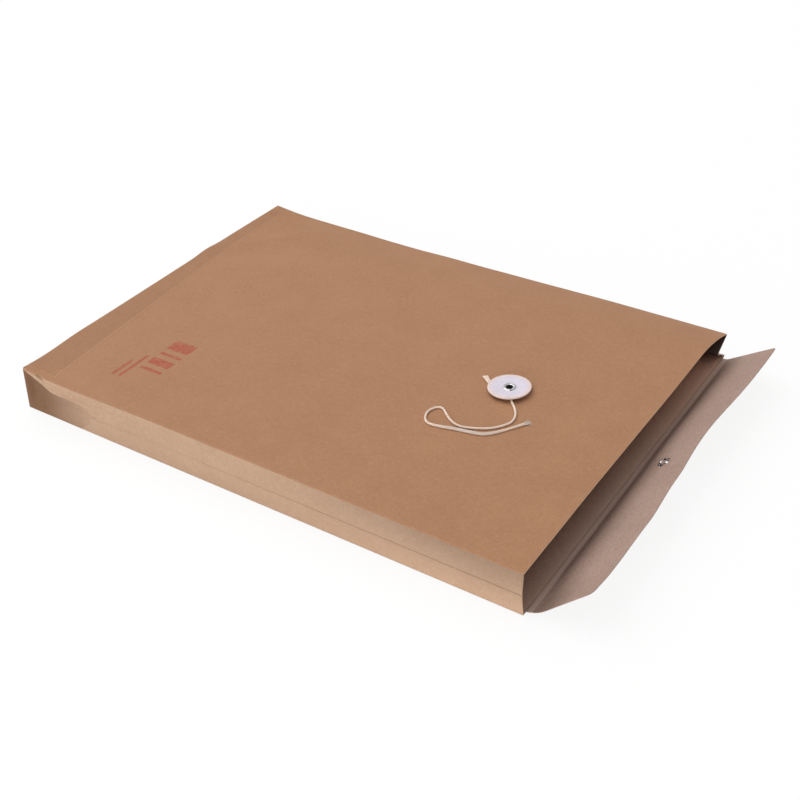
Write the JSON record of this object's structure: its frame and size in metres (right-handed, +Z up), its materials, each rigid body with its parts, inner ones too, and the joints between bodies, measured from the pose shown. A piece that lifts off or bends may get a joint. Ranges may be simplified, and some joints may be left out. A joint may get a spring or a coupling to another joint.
{
  "type": "string tie envelope",
  "caption": "Gusseted kraft card envelope for papers, lying open with its flap lifted; a string on one riveted button winds round another to close it.",
  "frame": {"origin": "centre of the front panel's underside, on the surface that the envelope lies on", "axes": "+X from the closed end to the mouth, +Y from the open gusset to the folded one, +Z up through the back panel"},
  "size_m": [0.356, 0.2423, 0.0282],
  "materials": {
    "kraft_card": "matt kraft with fine fibres",
    "button_card": "smooth white card, slightly satin",
    "eyelet_metal": "bright nickel plate",
    "cotton_string": "twisted undyed cotton"
  },
  "bodies": {
    "front_panel": {"front_panel": "kraft_card", "seam_tab": "kraft_card", "near_corner_pleat": "kraft_card", "far_corner_pleat": "kraft_card"},
    "near_gusset_lower": {"near_gusset_lower": "kraft_card"},
    "near_gusset_upper": {"near_gusset_upper": "kraft_card"},
    "back_panel": {"back_panel": "kraft_card", "end_lap": "kraft_card", "panel_eyelet": "eyelet_metal", "string_hitch": "cotton_string", "tie_string": "cotton_string", "string_tail": "cotton_string"},
    "far_gusset_lower": {"far_gusset_lower": "kraft_card"},
    "far_gusset_upper": {"far_gusset_upper": "kraft_card"},
    "end_wall_lower": {"end_wall_lower": "kraft_card"},
    "end_wall_upper": {"end_wall_upper": "kraft_card"},
    "closure_flap": {"closure_flap": "kraft_card", "flap_eyelet": "eyelet_metal"},
    "panel_button": {"panel_button": "button_card"},
    "flap_button": {"flap_button": "button_card"}
  },
  "joints": [
    {"name": "pocket_fold", "type": "hinge", "parent": "front_panel", "child": "near_gusset_lower", "pos_m": [0, -0.12, 0.0004], "axis": [-1, 0, 0], "range_deg": [0, 92.5], "deforming": ["near_corner_pleat", "far_corner_pleat"]},
    {"name": "near_gusset_crease", "type": "hinge", "parent": "near_gusset_lower", "child": "near_gusset_upper", "pos_m": [0, -0.12196, 0.01407], "axis": [-1, 0, 0], "range_deg": [-191, 0]},
    {"name": "back_panel_near_crease", "type": "hinge", "parent": "near_gusset_upper", "child": "back_panel", "pos_m": [0, -0.12, 0.02773], "axis": [-1, 0, 0], "range_deg": [0, 91.45]},
    {"name": "far_gusset_root_crease", "type": "hinge", "parent": "front_panel", "child": "far_gusset_lower", "pos_m": [0, 0.12, 0.00082], "axis": [1, 0, 0], "range_deg": [0, 18.98]},
    {"name": "back_panel_far_crease", "type": "hinge", "parent": "back_panel", "child": "far_gusset_upper", "pos_m": [0.01095, 0.12, 0.01338], "axis": [-0.9998, 0, -0.0176], "range_deg": [0, 23.03]},
    {"name": "end_wall_root_crease", "type": "hinge", "parent": "front_panel", "child": "end_wall_lower", "pos_m": [-0.162, 0, 0.0004], "axis": [0, 1, 0], "range_deg": [0, 89.5]},
    {"name": "end_wall_crease", "type": "hinge", "parent": "end_wall_lower", "child": "end_wall_upper", "pos_m": [-0.1624, 0, 0.00982], "axis": [0, 0.9994, -0.0354], "range_deg": [-179, 0]},
    {"name": "flap_fold", "type": "hinge", "parent": "front_panel", "child": "closure_flap", "pos_m": [0.162, 0, 0.0004], "axis": [0, -1, 0], "range_deg": [-37.4, 50], "stiffness_Nm_per_rad": 0.02},
    {"name": "panel_button_spin", "type": "hinge", "parent": "back_panel", "child": "panel_button", "pos_m": [0.08539, 0.00171, 0.02458], "axis": [-0.0225, 0.0291, 0.9993], "continuous": true},
    {"name": "flap_button_spin", "type": "hinge", "parent": "closure_flap", "child": "flap_button", "pos_m": [0.17868, 0, 0.01315], "axis": [-0.6074, 0, 0.7944], "continuous": true}
  ],
  "couplings": [
    {"joint": "near_gusset_crease", "follows": "pocket_fold", "ratio": -2},
    {"joint": "back_panel_near_crease", "follows": "pocket_fold", "ratio": 0.9562},
    {"joint": "far_gusset_root_crease", "follows": "pocket_fold", "ratio": 0.19435},
    {"joint": "back_panel_far_crease", "follows": "pocket_fold", "ratio": 0.23815},
    {"joint": "end_wall_root_crease", "follows": "pocket_fold", "ratio": 0.93514},
    {"joint": "end_wall_crease", "follows": "pocket_fold", "ratio": -1.8703}
  ]
}
